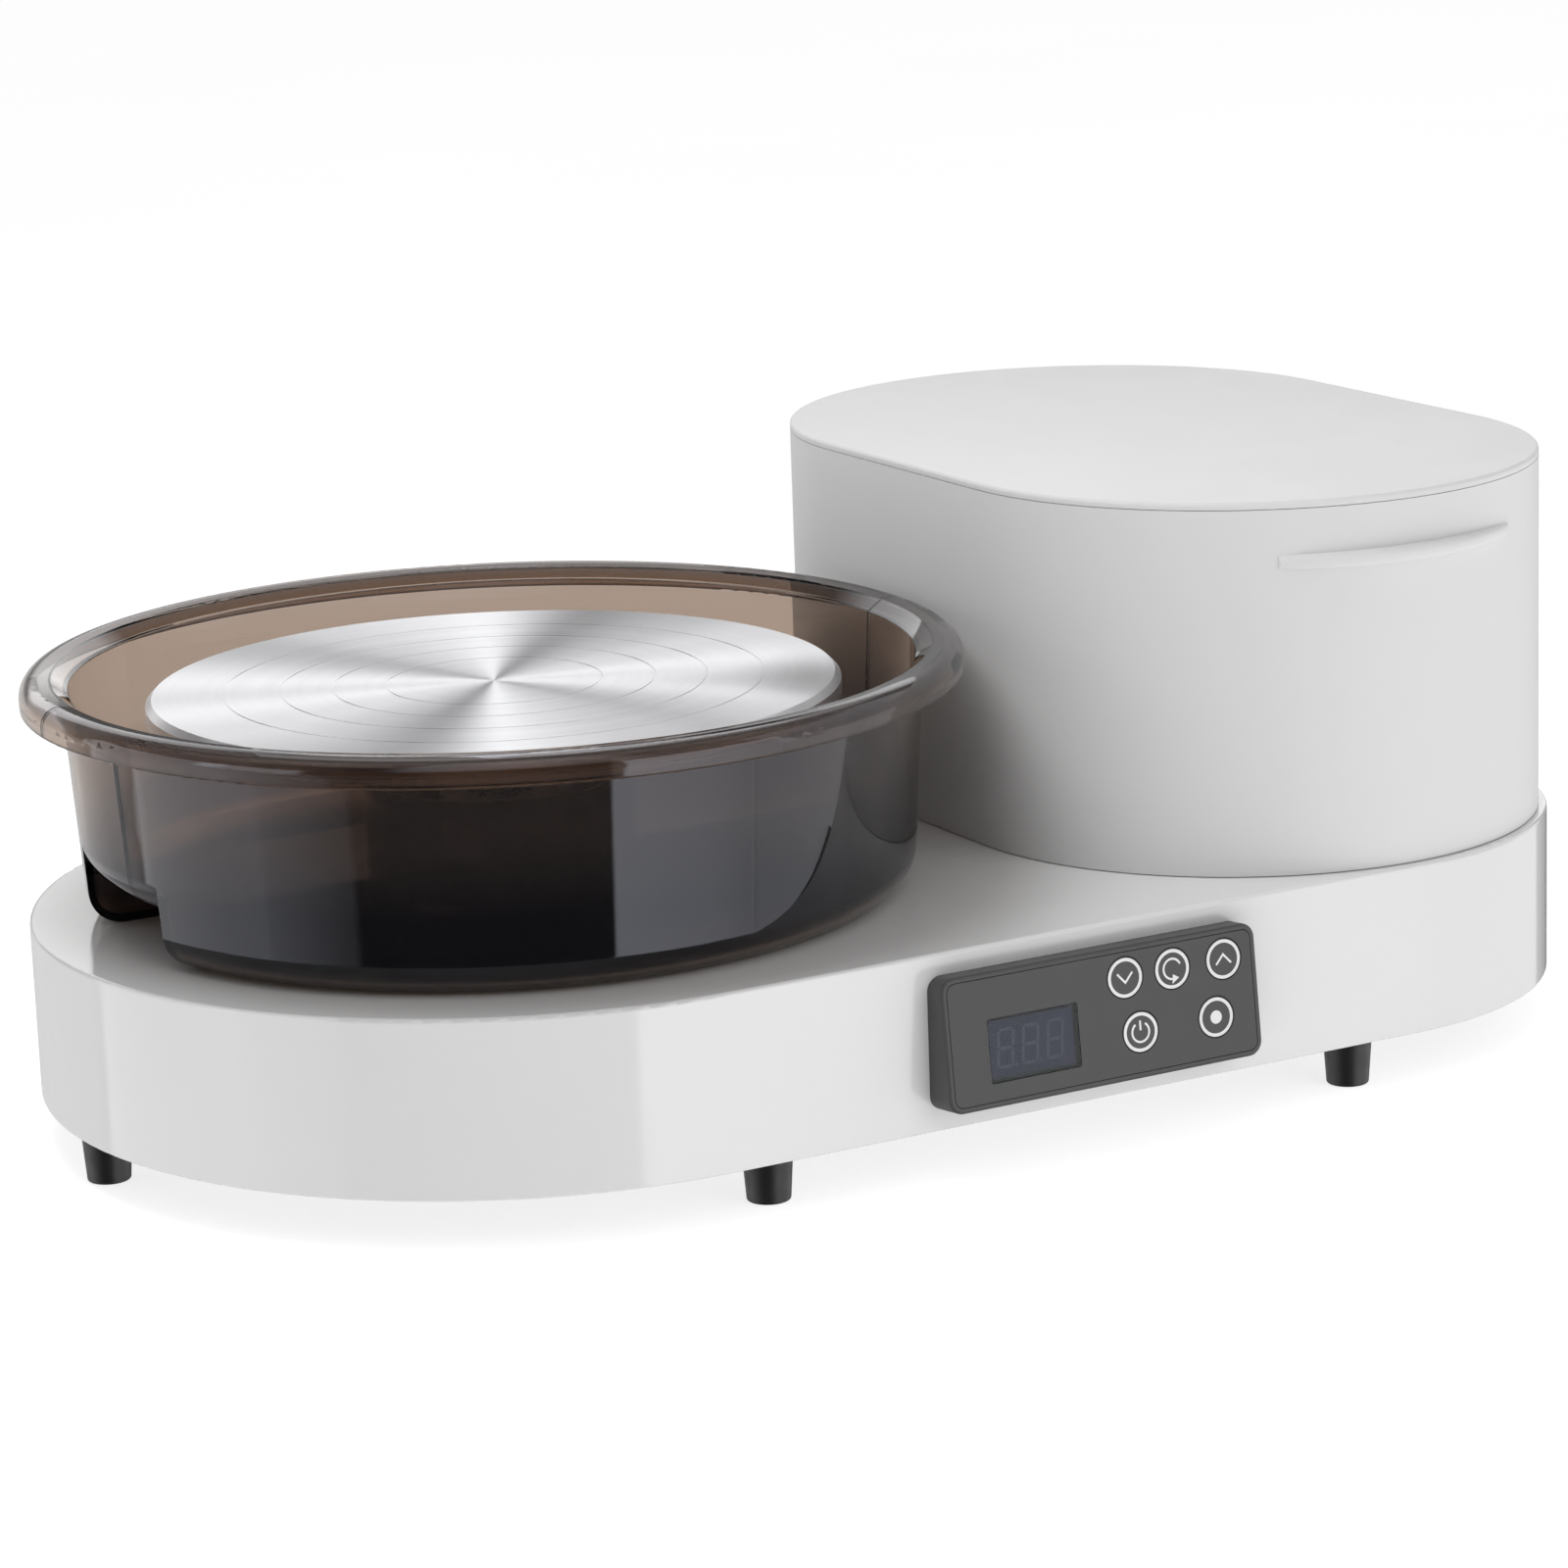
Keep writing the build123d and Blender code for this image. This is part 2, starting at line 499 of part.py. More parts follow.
def make_drive():
    wheel = pulley(PULLEY_R, SHAFT_R, 0)
    for a in range(0, 360, 60):
        x = 32 * cos(radians(a))
        y = 32 * sin(radians(a))
        wheel -= cyl(11, 0, 60, x, y)
    add("wheel_pulley", wheel)
    add("pulley_screw", screw(0, 0, SHAFT_BOTTOM, 7.0, 2.6, 2.5, 14))
    add("motor_pulley", pulley(MOTOR_PULLEY_R, MOTOR_SHAFT_R, MOTOR_X))

    inner = loop_face(PULLEY_R + BELT_GAP, MOTOR_PULLEY_R + BELT_GAP)
    outer = loop_face(PULLEY_R + BELT_GAP + BELT_T, MOTOR_PULLEY_R + BELT_GAP + BELT_T)
    z0 = PULLEY_BOTTOM + PULLEY_LIP + 0.5
    z1 = PULLEY_TOP - PULLEY_LIP - 0.5
    add("drive_belt", raise_face(outer, z0, z1) - raise_face(inner, z0 - 1, z1 + 1))

    h = BRACKET_HALF
    top = BRACKET_Z + BRACKET_T
    bracket = block(MOTOR_X - h, MOTOR_X + h, -h, h, BRACKET_Z, top)
    bracket = fillet(bracket.edges().filter_by(Axis.Z), 8)
    bracket -= cyl(12, 0, 60, MOTOR_X)
    posts = [(MOTOR_X + i * (h - 8), k * (h - 8)) for i in (-1, 1) for k in (-1, 1)]
    for x, y in posts:
        bracket += cyl(5, top - 0.5, BASE_ROOF, x, y)
        bracket -= cyl(1.7, 0, top + 12, x, y)
    motor_holes = [(MOTOR_X + 26 * cos(radians(a)), 26 * sin(radians(a))) for a in range(45, 360, 90)]
    for x, y in motor_holes:
        bracket -= cyl(2.1, 0, top + 1, x, y)
    add("motor_bracket", bracket)
    screws = [screw(x, y, BRACKET_Z, 3.6, 2.2, 1.6, BRACKET_T + 9) for x, y in posts]
    screws += [screw(x, y, BRACKET_Z, 3.6, 2.2, 1.9, BRACKET_T + 3) for x, y in motor_holes]
    add("bracket_screws", screws)

    can = ring(MOTOR_R, MOTOR_R - 2.5, top, MOTOR_TOP - 3, MOTOR_X)
    can += ring(MOTOR_R - 1, 8, top, top + 5, MOTOR_X)
    for x, y in motor_holes:
        can -= cyl(2.0, top - 1, top + 3, x, y)
    add("motor_can", can)
    cap = ring(MOTOR_R, 8, MOTOR_TOP - 3, MOTOR_TOP, MOTOR_X)
    add("motor_end_cap", fillet_level(cap, MOTOR_TOP, 1.0))
    stator = ring(MOTOR_R - 2.5, 24.5, top + 9, MOTOR_TOP - 7, MOTOR_X)
    for a in range(0, 360, 30):
        slot = Pos(MOTOR_X, 0, 0) * Rot(0, 0, a) * block(24, 35, -2, 2, top + 8, MOTOR_TOP - 6)
        stator -= slot
    add("motor_stator", stator)
    add("motor_bearings", [
        ring(8, MOTOR_SHAFT_R + 0.05, top, top + 5, MOTOR_X),
        ring(8, MOTOR_SHAFT_R + 0.05, MOTOR_TOP - 3, MOTOR_TOP, MOTOR_X)])
    add("motor_rotor", ring(24, MOTOR_SHAFT_R, top + 9, MOTOR_TOP - 7, MOTOR_X))
    add("motor_shaft", cyl(MOTOR_SHAFT_R, PULLEY_BOTTOM, MOTOR_TOP, MOTOR_X))


# ---------------------------------------------------------------- control panel
FACE_PLANE = Plane(origin=(PANEL_X, FACE_Y, PANEL_Z), x_dir=(1, 0, 0), z_dir=(0, -cos(TILT), sin(TILT)))


def on_face(solid):
    """Place a solid drawn with +Z out of the panel's face."""
    return FACE_PLANE.location * solid


def panel_block(w, h, r, d0, d1, u=0.0, v=0.0):
    """Rounded plate between two depths behind the face."""
    return Pos(u, v, -d1) * extrude(RectangleRounded(w, h, r), d1 - d0)


def disc(r, d0, d1, u, v):
    """Round plate between two depths behind the face."""
    return Pos(u, v, -d1) * Cylinder(r, d1 - d0, align=(Align.CENTER, Align.CENTER, Align.MIN))


def make_panel():
    wall = block(0, 400, -BASE_R, 0, 0, 200)
    outer = panel_block(PANEL_W, PANEL_H, PANEL_CORNER, 0, 30)
    outer = fillet(outer.edges().filter_by_position(Axis.Z, -0.01, 0.01), EDGE_ROUND)
    inner_w = PANEL_W - 2 * PANEL_BORDER
    inner_h = PANEL_H - 2 * PANEL_BORDER
    inner_r = PANEL_CORNER - PANEL_BORDER
    outer -= panel_block(inner_w, inner_h, inner_r, -1, 31)
    housing = on_face(outer) - wall
    for x, z in PANEL_SCREWS:
        depth = 5.5 if z > PANEL_Z else 9.5
        boss = along_y(3.6, -BASE_R - depth, -BASE_R, x, z)
        housing += boss - along_y(1.6, -BASE_R - depth + 1, -BASE_R + 1, x, z)
    add("control_housing", housing)
    pins = []
    for x, z in PANEL_SCREWS:
        shank = along_y(1.5, -BASE_R - 4, -BASE_R + BASE_WALL + 0.5, x, z)
        pins.append(shank + along_y(3, -BASE_R + BASE_WALL, -BASE_R + BASE_WALL + 2, x, z))
    add("panel_screws", pins)

    face = panel_block(inner_w - 2 * FACE_GAP, inner_h - 2 * FACE_GAP, inner_r - FACE_GAP, 0, FACE_T)
    for u, v in BUTTONS.values():
        face -= disc(BUTTON_R + BUTTON_GAP, -1, FACE_T + 1, u, v)
    face -= panel_block(WINDOW_W, WINDOW_H, 0.8, -1, FACE_T + 1, WINDOW_U, WINDOW_V)
    add("control_face", on_face(face))
    window = panel_block(WINDOW_W - 0.2, WINDOW_H - 0.2, 0.7, 0.1, FACE_T, WINDOW_U, WINDOW_V)
    add("display_window", on_face(window))
    module = panel_block(WINDOW_W - 3, WINDOW_H - 3, 0.5, FACE_T + 0.3, BOARD_DEPTH, WINDOW_U, WINDOW_V)
    add("display_module", on_face(module))
    board = panel_block(124, 36, 1.5, BOARD_DEPTH, BOARD_DEPTH + BOARD_T)
    add("control_board", on_face(board))
    switches = []
    for name, (u, v) in BUTTONS.items():
        body = panel_block(6, 6, 0.5, BOARD_DEPTH - 3.2, BOARD_DEPTH, u, v)
        switches.append(on_face(body + disc(1.7, BOARD_DEPTH - 3.7, BOARD_DEPTH - 3.1, u, v)))
        cap = disc(BUTTON_R, 0, FACE_T + 0.2, u, v)
        cap = fillet(cap.edges().filter_by_position(Axis.Z, -0.01, 0.01), 0.3)
        cap += disc(BUTTON_R + 1, FACE_T + 0.1, FACE_T + 0.7, u, v)
        cap += disc(2, FACE_T + 0.6, BOARD_DEPTH - 3.7 - BUTTON_TRAVEL - 0.1, u, v)
        add(name, on_face(cap))
    add("tact_switches", switches)


# ---------------------------------------------------------------- electronics and rear connectors
BOARD_SOCKETS = [(260, 96), (304, 122), (260, 140), (JACK_X, 156)]
SOCKET_TOP = 40.0


def make_electronics():
    supply = block(330, 400, -60, 60, PLATE_TOP + 4, PLATE_TOP + 38)
    supply = fillet(supply.edges().filter_by(Axis.Z), 4)
    feet = [cyl(4, PLATE_TOP, PLATE_TOP + 4.5, x, y) for x in (337, 393) for y in (-53, 53)]
    for foot in feet:
        supply += foot
    add("power_supply", supply)

    board = block(250, 310, 84, 164, PLATE_TOP + 8, PLATE_TOP + 8 + BOARD_T)
    corners = [(x, y) for x in (256, 304) for y in (90, 158)]
    for x, y in corners:
        board -= cyl(1.7, 0, 60, x, y)
    add("driver_board", board)
    add("board_standoffs", [ring(3, 1.6, PLATE_TOP, PLATE_TOP + 8, x, y) for x, y in corners])
    top = PLATE_TOP + 8 + BOARD_T
    parts = [cyl(8, top, top + 25, 279 + 18 * i, 104) for i in (0, 1)]
    for x, y in BOARD_SOCKETS:
        parts.append(block(x - 5, x + 5, y - 4, y + 4, top, SOCKET_TOP))
    sink = block(267, 297, 122, 146, top, top + 4)
    for i in range(7):
        sink += block(267, 297, 122 + 3.8 * i, 123.2 + 3.8 * i, top + 3.5, top + 22)
    add("board_components", parts)
    add("board_heat_sink", sink)

    y0 = BASE_R
    plate = block(INLET_X - 18, INLET_X + 18, y0, y0 + 2.0, CONNECTOR_Z - 13, CONNECTOR_Z + 13)
    body = block(INLET_X - 13.4, INLET_X + 13.4, y0 - 22, y0 + 0.5, CONNECTOR_Z - 9.7, CONNECTOR_Z + 9.7)
    well = block(INLET_X - 12, INLET_X + 12, y0 - 16, y0 + 3, CONNECTOR_Z - 8.2, CONNECTOR_Z + 8.2)
    inlet = fillet(plate.edges().filter_by(Axis.Y), 3) + body - well
    add("power_inlet", inlet)
    blades = []
    for dx, dz in ((-7, -2), (0, 2), (7, -2)):
        x, z = INLET_X + dx, CONNECTOR_Z + dz
        blades.append(block(x - 1, x + 1, y0 - 16, y0 - 3, z - 2, z + 2))
    add("inlet_blades", blades)

    jack = along_y(6, y0 - 17.5, y0 + 1, JACK_X, CONNECTOR_Z)
    jack += along_y(8.5, y0, y0 + JACK_LIP, JACK_X, CONNECTOR_Z)
    jack -= along_y(JACK_BORE_R, y0 + JACK_LIP - JACK_LENGTH, y0 + JACK_LIP + 1, JACK_X, CONNECTOR_Z)
    add("pedal_jack", jack)
    hexagon = extrude(RegularPolygon(9, 6), 1.5, both=True)
    nut = Pos(JACK_X, y0 - BASE_WALL - 1.5, CONNECTOR_Z) * Rot(90, 0, 0) * hexagon
    add("jack_nut", nut - along_y(6, y0 - 40, y0, JACK_X, CONNECTOR_Z))


def lead(points, bend, wire_r):
    """Round cable along straight runs joined by tangent arcs."""
    path = FilletPolyline(*points, radius=bend)
    section = Plane(origin=path @ 0, z_dir=path % 0) * Circle(wire_r)
    return sweep(section, path)


def make_leads():
    top = SOCKET_TOP
    motor, panel, mains, pedal = BOARD_SOCKETS
    add("motor_lead", lead([
        (MOTOR_X, MOTOR_R, 62), (MOTOR_X, 72, 62),
        (motor[0], motor[1], 62), (motor[0], motor[1], top)], 8, 2.2))
    y0 = -BASE_R + 1
    add("panel_lead", lead([
        (205, y0, 52), (205, -150, 52), (262, -108, 50), (312, -72, 46), (316, 20, 50), (312, 100, 58),
        (panel[0], panel[1], 58), (panel[0], panel[1], top)], 8, 1.8))
    y1 = BASE_R - 22
    add("mains_lead", lead([
        (INLET_X, y1, CONNECTOR_Z), (INLET_X, 140, CONNECTOR_Z),
        (352, 105, 50), (365, 90, 44), (365, 60, 44)], 8, 3.0))
    add("pedal_lead", lead([
        (JACK_X, BASE_R - 17.5, CONNECTOR_Z), (pedal[0], pedal[1], CONNECTOR_Z), (pedal[0], pedal[1], top)],
        6, 1.8))


make_base()
make_spindle()
make_pan()
make_drum()
make_drive()
make_panel()
make_electronics()
make_leads()

os.makedirs("parts", exist_ok=True)
for node, solid in nodes.items():
    export_step(Pos(-X_MID, -Y_MID, 0) * solid, f"parts/{node}.step")
print(f"{len(nodes)} nodes, tilt {degrees(TILT):.2f} deg, spindle at {-X_MID:.2f}, {-Y_MID:.2f}")
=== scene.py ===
"""Looks, light and camera for the tabletop pottery wheel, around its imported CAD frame."""

import json
import math

import bmesh
import bpy
from mathutils import Matrix, Vector


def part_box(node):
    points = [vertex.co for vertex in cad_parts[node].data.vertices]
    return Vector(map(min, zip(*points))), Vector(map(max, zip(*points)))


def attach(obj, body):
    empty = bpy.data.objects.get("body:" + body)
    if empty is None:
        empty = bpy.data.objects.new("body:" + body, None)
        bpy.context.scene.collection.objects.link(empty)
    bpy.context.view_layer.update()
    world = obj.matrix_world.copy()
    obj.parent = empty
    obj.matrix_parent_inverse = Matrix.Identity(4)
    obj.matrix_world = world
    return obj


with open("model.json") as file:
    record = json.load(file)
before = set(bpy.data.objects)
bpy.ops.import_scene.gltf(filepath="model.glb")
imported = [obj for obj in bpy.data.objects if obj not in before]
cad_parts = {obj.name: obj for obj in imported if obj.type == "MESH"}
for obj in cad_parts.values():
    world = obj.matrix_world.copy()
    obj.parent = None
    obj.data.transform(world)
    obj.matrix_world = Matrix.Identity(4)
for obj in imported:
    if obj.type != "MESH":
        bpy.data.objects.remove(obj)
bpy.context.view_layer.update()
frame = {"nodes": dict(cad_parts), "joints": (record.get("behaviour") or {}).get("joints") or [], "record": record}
NODES = frame["nodes"]
RECORD = frame["record"]
MM = 0.001


def centre(node):
    """Middle of a CAD node's box."""
    low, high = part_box(node)
    return (low + high) / 2


AXIS = centre("wheel_head")


# ---------------------------------------------------------------- materials
class Graph:
    """A new material's node tree, with short calls that add nodes."""

    def __init__(self, name):
        self.material = bpy.data.materials.new(name)
        self.material.use_nodes = True
        self.tree = self.material.node_tree
        self.tree.nodes.clear()
        self.out = self.tree.nodes.new("ShaderNodeOutputMaterial")
        self.where = self.add("ShaderNodeTexCoord").outputs["Object"]

    def add(self, kind, inputs=None, **settings):
        """Adds a node. Each input, by name or number, is another node's socket or a value."""
        made = self.tree.nodes.new(kind)
        for key, value in settings.items():
            setattr(made, key, value)
        for key, value in (inputs or {}).items():
            if isinstance(value, bpy.types.NodeSocket):
                self.tree.links.new(value, made.inputs[key])
            else:
                made.inputs[key].default_value = value
        return made

    def noise(self, scale, detail=3.0, rough=0.5, stretch=None):
        """A 3-D noise from about 0.25 to 0.75, finer with a larger scale."""
        at = self.where
        if stretch:
            at = self.add("ShaderNodeMapping", {"Vector": at, "Scale": stretch}).outputs["Vector"]
        return self.add("ShaderNodeTexNoise", {
            "Vector": at, "Scale": scale, "Detail": detail, "Roughness": rough}).outputs[0]

    def remap(self, value, low, high, start=0.3, end=0.7):
        """Takes value from the range start to end to the range low to high, and stops at its ends."""
        made = self.add("ShaderNodeMapRange", {
            "Value": value, "From Min": start, "From Max": end, "To Min": low, "To Max": high})
        return made.outputs["Result"]

    def mix(self, factor, first, second):
        made = self.add("ShaderNodeMix", {0: factor, 6: first, 7: second}, data_type="RGBA")
        return made.outputs[2]

    def math(self, operation, first, second=0.0):
        return self.add("ShaderNodeMath", {0: first, 1: second}, operation=operation).outputs[0]

    def position(self):
        """X, Y and Z of the shaded point in the object's own frame, which is the CAD frame."""
        return self.add("ShaderNodeSeparateXYZ", {0: self.where}).outputs[:3]

    def bump(self, height, depth, normal=None):
        inputs = {"Height": height, "Strength": 1.0, "Distance": depth}
        if normal is not None:
            inputs["Normal"] = normal
        return self.add("ShaderNodeBump", inputs).outputs["Normal"]

    def finish(self, shader):
        self.tree.links.new(shader.outputs[0], self.out.inputs["Surface"])
        return self.material


def shade(colour, factor):
    return tuple(min(1.0, c * factor) for c in colour[:3]) + (1.0,)


def surface(name, colour, rough, metal=0.0, tint=0.03, patch=7.0, rough_shift=0.03, grain=900.0, depth=4e-6,
            wave=0.0, spec=0.5, stretch=None):
    """A moulded, cast or sheet finish: patchy tint and gloss, a fine grain, and a slow waviness."""
    g = Graph(name)
    blotch = g.noise(patch, 4.0, 0.6, stretch=stretch)
    base = g.mix(g.remap(blotch, 0.0, 1.0), shade(colour, 1 - tint), shade(colour, 1 + tint))
    gloss = g.remap(g.noise(patch * 6, 5.0, 0.65, stretch=stretch), rough - rough_shift, rough + rough_shift)
    normal = g.bump(g.noise(grain, 2.0, 0.5, stretch=stretch), depth)
    if wave:
        normal = g.bump(g.noise(9.0, 1.0, 0.4), wave, normal)
    return g.finish(g.add("ShaderNodeBsdfPrincipled", {
        "Base Color": base, "Roughness": gloss, "Metallic": metal, "Normal": normal,
        "Specular IOR Level": spec}))


def clear(name, colour, lamp, rough, ior=1.49, spec_tint=(1, 1, 1, 1), shade_and_light_bands=(), seams=()):
    """Clear tinted plastic. Each band is another tint, painted shade or painted light, that takes over between two
    heights, going up, and each seam a dark line where two parts meet. Lamp light goes straight through it, tinted
    by lamp."""
    g = Graph(name)
    gloss = g.remap(g.noise(14.0, 4.0, 0.6), rough, rough * 3)
    rounded = g.add("ShaderNodeBevel", {"Radius": 0.0006}, samples=4).outputs[0]
    normal = g.bump(g.noise(11.0, 1.0, 0.4), 3e-5, rounded)
    cloud = g.noise(5.0, 3.0, 0.5)
    tint = g.mix(g.remap(cloud, 0.0, 1.0), shade(colour, 0.97), shade(colour, 1.03))
    x, y, z = g.position()
    # Painted shade and light: above each band's heights a darker or lighter tint takes over.
    for below, above, other in shade_and_light_bands:
        tint = g.mix(g.remap(z, 0.0, 1.0, below, above), tint, other)
    for side, place, low, high in seams:
        line = g.add("ShaderNodeMath", {0: y, 1: place, 2: SEAM_SHADE}, operation="COMPARE").outputs[0]
        line = g.math("MULTIPLY", line, g.math("GREATER_THAN", g.math("MULTIPLY", x, side), AXIS.x * side))
        line = g.math("MULTIPLY", line, g.math("GREATER_THAN", z, low))
        line = g.math("MULTIPLY", line, g.math("LESS_THAN", z, high))
        tint = g.mix(line, tint, SEAM_COLOUR)
    glass = g.add("ShaderNodeBsdfPrincipled", {
        "Base Color": tint, "Roughness": gloss, "Transmission Weight": 1.0, "IOR": ior, "Normal": normal,
        "Specular Tint": spec_tint})
    through = g.add("ShaderNodeBsdfTransparent", {"Color": lamp})
    path = g.add("ShaderNodeLightPath").outputs["Is Shadow Ray"]
    both = g.add("ShaderNodeMixShader", {0: path, 1: glass.outputs[0], 2: through.outputs[0]})
    return g.finish(both)


def turned(name, colour, rough):
    """Aluminium faced on a lathe: rings about the spindle, and highlights that fan out from the middle."""
    g = Graph(name)
    offset = g.add("ShaderNodeVectorMath", {0: g.where, 1: tuple(AXIS)}, operation="SUBTRACT").outputs[0]
    flat = g.add("ShaderNodeVectorMath", {0: offset, 1: (1, 1, 0)}, operation="MULTIPLY").outputs[0]
    radius = g.add("ShaderNodeVectorMath", {0: flat}, operation="LENGTH").outputs["Value"]

    def rings(per_metre, detail):
        at = g.math("MULTIPLY", radius, per_metre)
        return g.add("ShaderNodeTexNoise", {"W": at, "Scale": 1.0, "Detail": detail},
                     noise_dimensions="1D").outputs[0]

    coarse, fine = rings(160.0, 3.0), rings(2600.0, 1.0)
    smudge = g.noise(11.0, 5.0, 0.6)
    base = g.mix(g.remap(coarse, 0.0, 1.0), shade(colour, 0.96), shade(colour, 1.02))
    gloss = g.math("ADD", g.remap(coarse, rough - 0.015, rough + 0.015), g.remap(smudge, -0.012, 0.02))
    normal = g.bump(fine, 4e-7)
    tangent = g.add("ShaderNodeTangent", direction_type="RADIAL", axis="Z").outputs[0]
    return g.finish(g.add("ShaderNodeBsdfPrincipled", {
        "Base Color": base, "Roughness": gloss, "Metallic": 1.0, "Normal": normal,
        "Anisotropic": 1.0, "Anisotropic Rotation": 0.25, "Tangent": tangent}))


# Where the pan's halves meet: side of the spindle, Y, and the lowest and highest Z. At the left, the wall
# and the rim part in different places, so they are the ends of the two halves.
RIM_CUT, RIGHT_SEAM = 0.174, AXIS.y - 0.0075
PAN_SEAMS = [
    (-1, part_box("pan_back")[0].y, 0.0, RIM_CUT),
    (-1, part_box("pan_front")[1].y, RIM_CUT, 1.0),
    (1, RIGHT_SEAM, 0.0, 1.0),
]
SEAM_SHADE, SEAM_COLOUR = 0.0007, (0.02, 0.017, 0.017, 1)

# The pan's tint: its floor, then from each pair of heights up, its lower wall, its upper wall and its rim. The
# lower wall's dark tint is painted shade, for the dark under the wheel head. The upper wall's lighter brown is
# painted light, for the glow inside the pan. The rim takes a greyer tint.
PAN_FLOOR, PAN_LAMP, PAN_SHINE = (0.22, 0.16, 0.125, 1), (0.2, 0.16, 0.13, 1), (0.86, 0.89, 1.0, 1)
PAN_SHADE_AND_LIGHT = (
    (0.098, 0.104, (0.08, 0.07, 0.08, 1)),
    (0.122, 0.150, (0.37, 0.285, 0.23, 1)),
    (0.184, 0.187, (0.38, 0.35, 0.345, 1)),
)

WHITE, PANEL = (0.80, 0.80, 0.80), (0.070, 0.070, 0.071)
MATERIALS = {
    "white_gloss": surface("white_gloss", WHITE, 0.10, tint=0.012, rough_shift=0.025, depth=6e-7,
                           wave=2e-5),
    "drum_white": surface("drum_white", (0.79, 0.79, 0.79), 0.50, tint=0.012, rough_shift=0.04,
                          grain=1500.0, depth=6e-6, wave=1e-5, spec=0.25),
    "smoke_plastic": clear("smoke_plastic", PAN_FLOOR, PAN_LAMP, 0.012, spec_tint=PAN_SHINE,
                           shade_and_light_bands=PAN_SHADE_AND_LIGHT, seams=PAN_SEAMS),
    "turned_aluminium": turned("turned_aluminium", (0.88, 0.88, 0.90), 0.40),
    "cast_aluminium": surface("cast_aluminium", (0.60, 0.60, 0.61), 0.42, metal=1.0, tint=0.06, patch=20.0,
                              rough_shift=0.08, grain=700.0, depth=3e-5),
    "black_rubber": surface("black_rubber", (0.012, 0.012, 0.012), 0.42, tint=0.2, patch=25.0,
                            rough_shift=0.08, grain=1600.0, depth=1.2e-5),
    "zinc_steel": surface("zinc_steel", (0.56, 0.57, 0.58), 0.36, metal=1.0, tint=0.08, patch=40.0,
                          rough_shift=0.09),
    "machined_steel": surface("machined_steel", (0.60, 0.60, 0.60), 0.28, metal=1.0, tint=0.05, patch=30.0,
                              rough_shift=0.06, grain=1800.0, depth=3e-6, stretch=(1, 1, 4)),
    "fastener_steel": surface("fastener_steel", (0.45, 0.45, 0.46), 0.34, metal=1.0, tint=0.1, patch=60.0,
                              rough_shift=0.08, grain=1500.0, depth=5e-6),
    "panel_grey": surface("panel_grey", PANEL, 0.46, patch=15.0, rough_shift=0.04, grain=2500.0,
                          depth=3e-6, spec=0.3),
    "button_grey": surface("button_grey", PANEL, 0.44, patch=15.0, rough_shift=0.04, grain=2500.0,
                           depth=3e-6, spec=0.3),
    "window_smoke": clear("window_smoke", (0.62, 0.65, 0.74, 1), (0.8, 0.82, 0.88, 1), 0.05, ior=1.3),
    "display_dark": surface("display_dark", (0.055, 0.06, 0.09), 0.5, tint=0.05, patch=30.0,
                            rough_shift=0.05, grain=2000.0, depth=2e-6),
    "board_green": surface("board_green", (0.02, 0.13, 0.055), 0.35, tint=0.08, patch=50.0,
                           rough_shift=0.06, grain=1200.0, depth=5e-6),
    "black_plastic": surface("black_plastic", (0.018, 0.018, 0.018), 0.38, tint=0.1, patch=30.0,
                             rough_shift=0.06, grain=1500.0, depth=6e-6),
    "brass_contact": surface("brass_contact", (0.80, 0.58, 0.27), 0.25, metal=1.0, tint=0.06, patch=50.0,
                             rough_shift=0.06, grain=1500.0, depth=3e-6),
    "lead_black": surface("lead_black", (0.015, 0.015, 0.015), 0.48, tint=0.15, patch=60.0,
                          rough_shift=0.06, grain=1500.0, depth=1e-5),
    "ink_white": surface("ink_white", (0.86, 0.86, 0.86), 0.5, patch=80.0, rough_shift=0.05, grain=3000.0,
                         depth=2e-6),
    "segment_grey": surface("segment_grey", (0.12, 0.13, 0.165), 0.45, tint=0.05, patch=80.0,
                            rough_shift=0.05, grain=3000.0, depth=1e-6),
}


def paint(obj, material):
    """Puts material on every face of obj, in its own object's slots."""
    if not obj.material_slots:
        obj.data.materials.append(material)
    for held in obj.material_slots:
        held.link = "OBJECT"
        held.material = material


for part in RECORD["subparts"]:
    paint(NODES[part["node"]], MATERIALS[part["material_slot"]])


# ---------------------------------------------------------------- printed marks on the panel
PRESS = Vector(next(j["axis"] for j in frame["joints"] if j["name"] == "button_power_press")).normalized()
OUT = -PRESS
UP = Vector((1, 0, 0)).cross(PRESS)


def panel_place(node):
    """A matrix with X to the right, Y up the panel and Z out of it, centred on the outer face of a node."""
    mesh = NODES[node].data
    height = max(v.co.dot(OUT) for v in mesh.vertices)
    middle = centre(node)
    middle = middle + OUT * (height - middle.dot(OUT))
    turn = Matrix((Vector((1, 0, 0)), UP, OUT)).transposed()
    return Matrix.Translation(middle) @ turn.to_4x4()


# A print starts under the face it lies on and stands this far out of it, in millimetres.
INK_LOW, INK_HIGH = -0.05, 0.05


def ribbon(mesh, points, width, closed=False):
    """A flat raised line along points, in millimetres, with mitred corners."""
    points = [Vector(p) for p in points]
    count = len(points)
    rows = []
    for i, p in enumerate(points):
        before = points[i - 1] if i or closed else None
        after = points[(i + 1) % count] if i < count - 1 or closed else None
        a = (p - before).normalized() if before is not None else None
        b = (after - p).normalized() if after is not None else None
        a, b = a or b, b or a
        along = (a + b).normalized()
        side = Vector((-along.y, along.x))
        reach = width / 2 / max(0.3, side.dot(Vector((-a.y, a.x))))
        corners = [(p + side * reach * s, z) for s, z in
                   ((1, INK_LOW), (1, INK_HIGH), (-1, INK_HIGH), (-1, INK_LOW))]
        rows.append([mesh.verts.new((c.x, c.y, z)) for c, z in corners])
    last = count if closed else count - 1
    for i in range(last):
        first, second = rows[i], rows[(i + 1) % count]
        for k in range(4):
            mesh.faces.new((first[k], second[k], second[(k + 1) % 4], first[(k + 1) % 4]))
    if not closed:
        mesh.faces.new(rows[0][::-1])
        mesh.faces.new(rows[-1])


